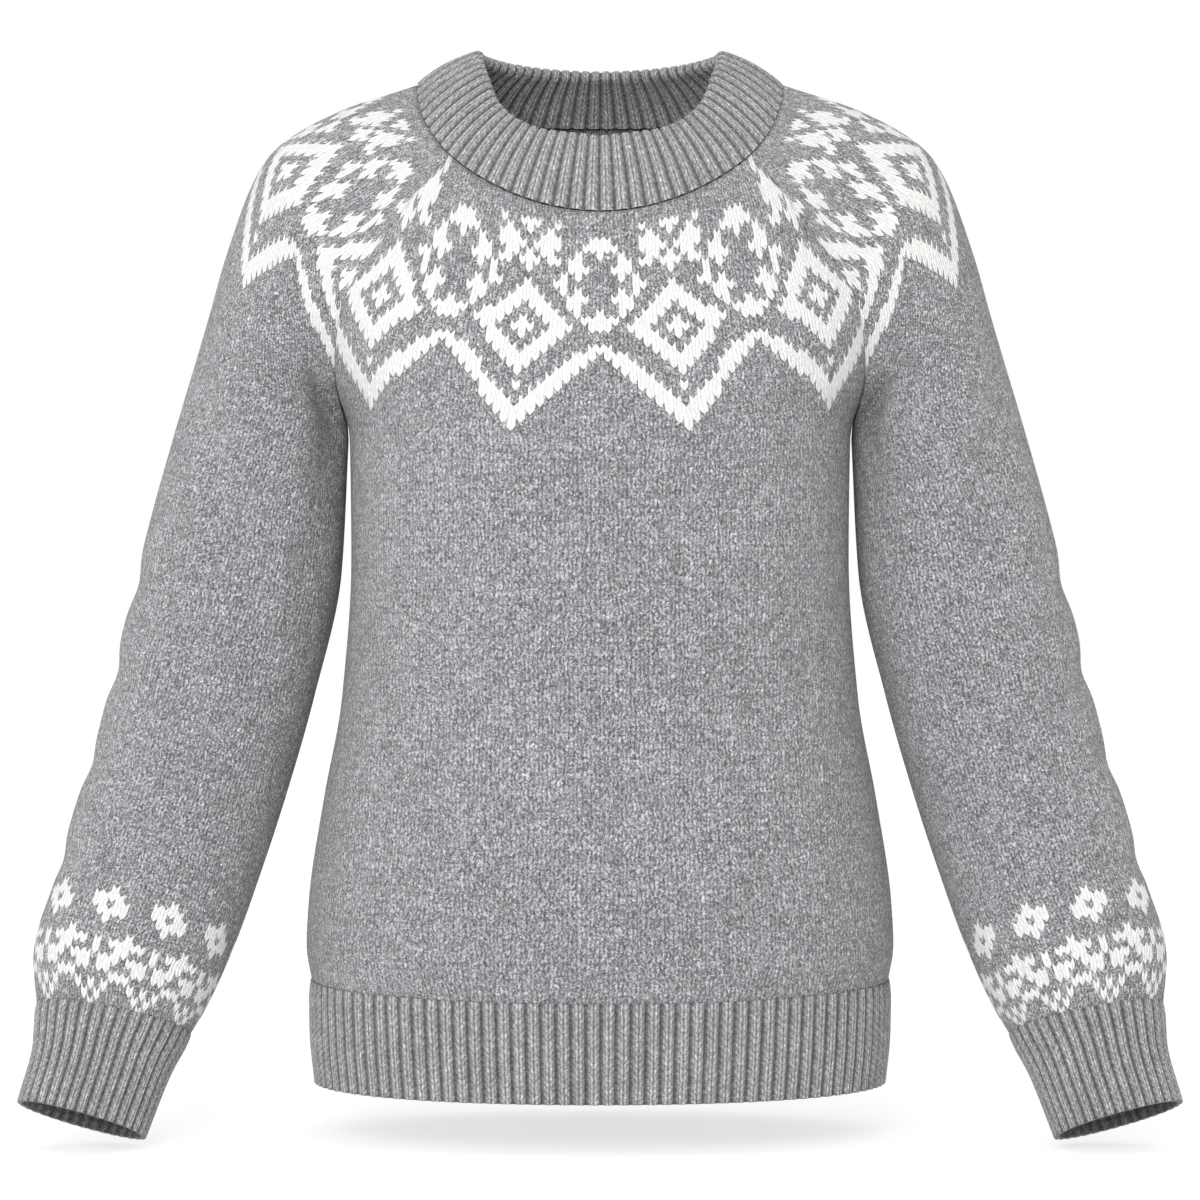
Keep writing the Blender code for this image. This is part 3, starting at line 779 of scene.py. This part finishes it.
def neck_fold_row():
    """The fold along the top of the neckband, from the middle of the front all the way round."""
    angle = np.linspace(0.0, 2.0 * math.pi, 4 * CURVE_POINTS + 1)
    share = np.abs(np.cos(angle))
    ahead = np.cos(angle) > 0
    deep = np.where(ahead, NECK_TOP["front_y"], NECK_BACK["y"])
    level = np.where(ahead, NECK_TOP["front_z"], NECK_BACK["z"])
    from_front = np.degrees(np.minimum(angle, 2.0 * math.pi - angle))
    sinks = table(NECK_FALL)
    fall = []
    for turn, rest in zip(from_front, share):
        fall.append(smooth(sinks, ["share"], turn)[0] if turn < 90 else rest**1.5)
    return np.stack(
        [
            NECK_TOP["half_width"] * np.sin(angle),
            NECK_TOP["side_y"] + (deep - NECK_TOP["side_y"]) * share,
            NECK_TOP["side_z"] + (level - NECK_TOP["side_z"]) * np.array(fall),
        ],
        axis=1,
    )


low = at_shares(neck_seam_row()[::-1], rib_shares(NECK_RIBS, True))
high = at_shares(neck_fold_row()[::-1], rib_shares(NECK_RIBS, True))
around = np.roll(low, -1, axis=0) - np.roll(low, 1, axis=0)
outward = np.cross(high - low, around)
outward /= np.linalg.norm(outward, axis=1, keepdims=True)
rise = np.linalg.norm(high - low, axis=1, keepdims=True)
upward = (high - low) / rise
outer_side = []
inner_side = []
for part in np.linspace(0.0, 1.0, NECK_ROWS + 1):
    height = NECK_GAP + (rise - NECK_GAP - NECK_THICKNESS / 2) * part
    bulge = NECK_BULGE * 4 * part * (1 - part)
    outer_side.append(low + upward * height + outward * bulge)
    inner_side.append(low + upward * height + outward * (bulge - NECK_THICKNESS))
fold = []
for angle in np.radians([36, 72, 108, 144]):
    centre = low + upward * (rise - NECK_THICKNESS / 2) - outward * (NECK_THICKNESS / 2)
    way = outward * math.cos(angle) + upward * math.sin(angle)
    fold.append(centre + way * (NECK_THICKNESS / 2))
band_rows = np.array(outer_side + fold + inner_side[::-1])
neckband = ribbing("neck_ribbing", band_rows, NECK_LIFT, True, 0)
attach(neckband, "root")
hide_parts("neckband")

# Floor
# A plain pale floor lies under and behind the garment, which floats a little above it.
FLOOR_LEVEL = packed_box[0][2] - 0.003

bpy.ops.mesh.primitive_plane_add(size=40.0, location=(0.0, 0.0, FLOOR_LEVEL))
floor = bpy.context.object
floor.name = "studio_floor"
paper = bpy.data.materials.new("studio_paper")
paper.use_nodes = True
paper_shader = paper.node_tree.nodes["Principled BSDF"]
paper_shader.inputs["Base Color"].default_value = (0.36, 0.36, 0.36, 1.0)
paper_shader.inputs["Roughness"].default_value = 1.0
paper_shader.inputs["Specular IOR Level"].default_value = 0.0
paper_shader.inputs["Emission Color"].default_value = (1.0, 1.0, 1.0, 1.0)
paper_shader.inputs["Emission Strength"].default_value = 0.7
floor.data.materials.append(paper)

# Light
# Even daylight comes from all round, and one large soft lamp stands to the left, well in front.
sky = bpy.data.worlds.new("studio_light")
sky.use_nodes = True
sky.node_tree.nodes["Background"].inputs["Color"].default_value = (1.0, 1.0, 1.0, 1.0)
sky.node_tree.nodes["Background"].inputs["Strength"].default_value = 1.0
bpy.context.scene.world = sky

bpy.ops.object.light_add(type="AREA", location=(-0.8, -3.5, 0.9))
key_lamp = bpy.context.object
key_lamp.name = "key_lamp"
key_lamp.data.size = 2.2
key_lamp.data.energy = 112.0
key_lamp.rotation_euler = (math.radians(72), 0.0, math.radians(-13))

# Camera
# The photograph was taken level with the middle of the garment from about two and a half metres.
VIEW_DISTANCE = 2.528
VIEW_WIDTH = 0.7661
VIEW_HEIGHT = -0.3287
SENSOR_WIDTH = 36.0

bpy.ops.object.camera_add(location=(0.0, -VIEW_DISTANCE, VIEW_HEIGHT), rotation=(math.radians(90), 0.0, 0.0))
camera = bpy.context.object
camera.name = "photo_camera"
camera.data.sensor_width = SENSOR_WIDTH
camera.data.lens = SENSOR_WIDTH * VIEW_DISTANCE / VIEW_WIDTH
bpy.context.scene.camera = camera
bpy.context.scene.view_settings.view_transform = "Standard"
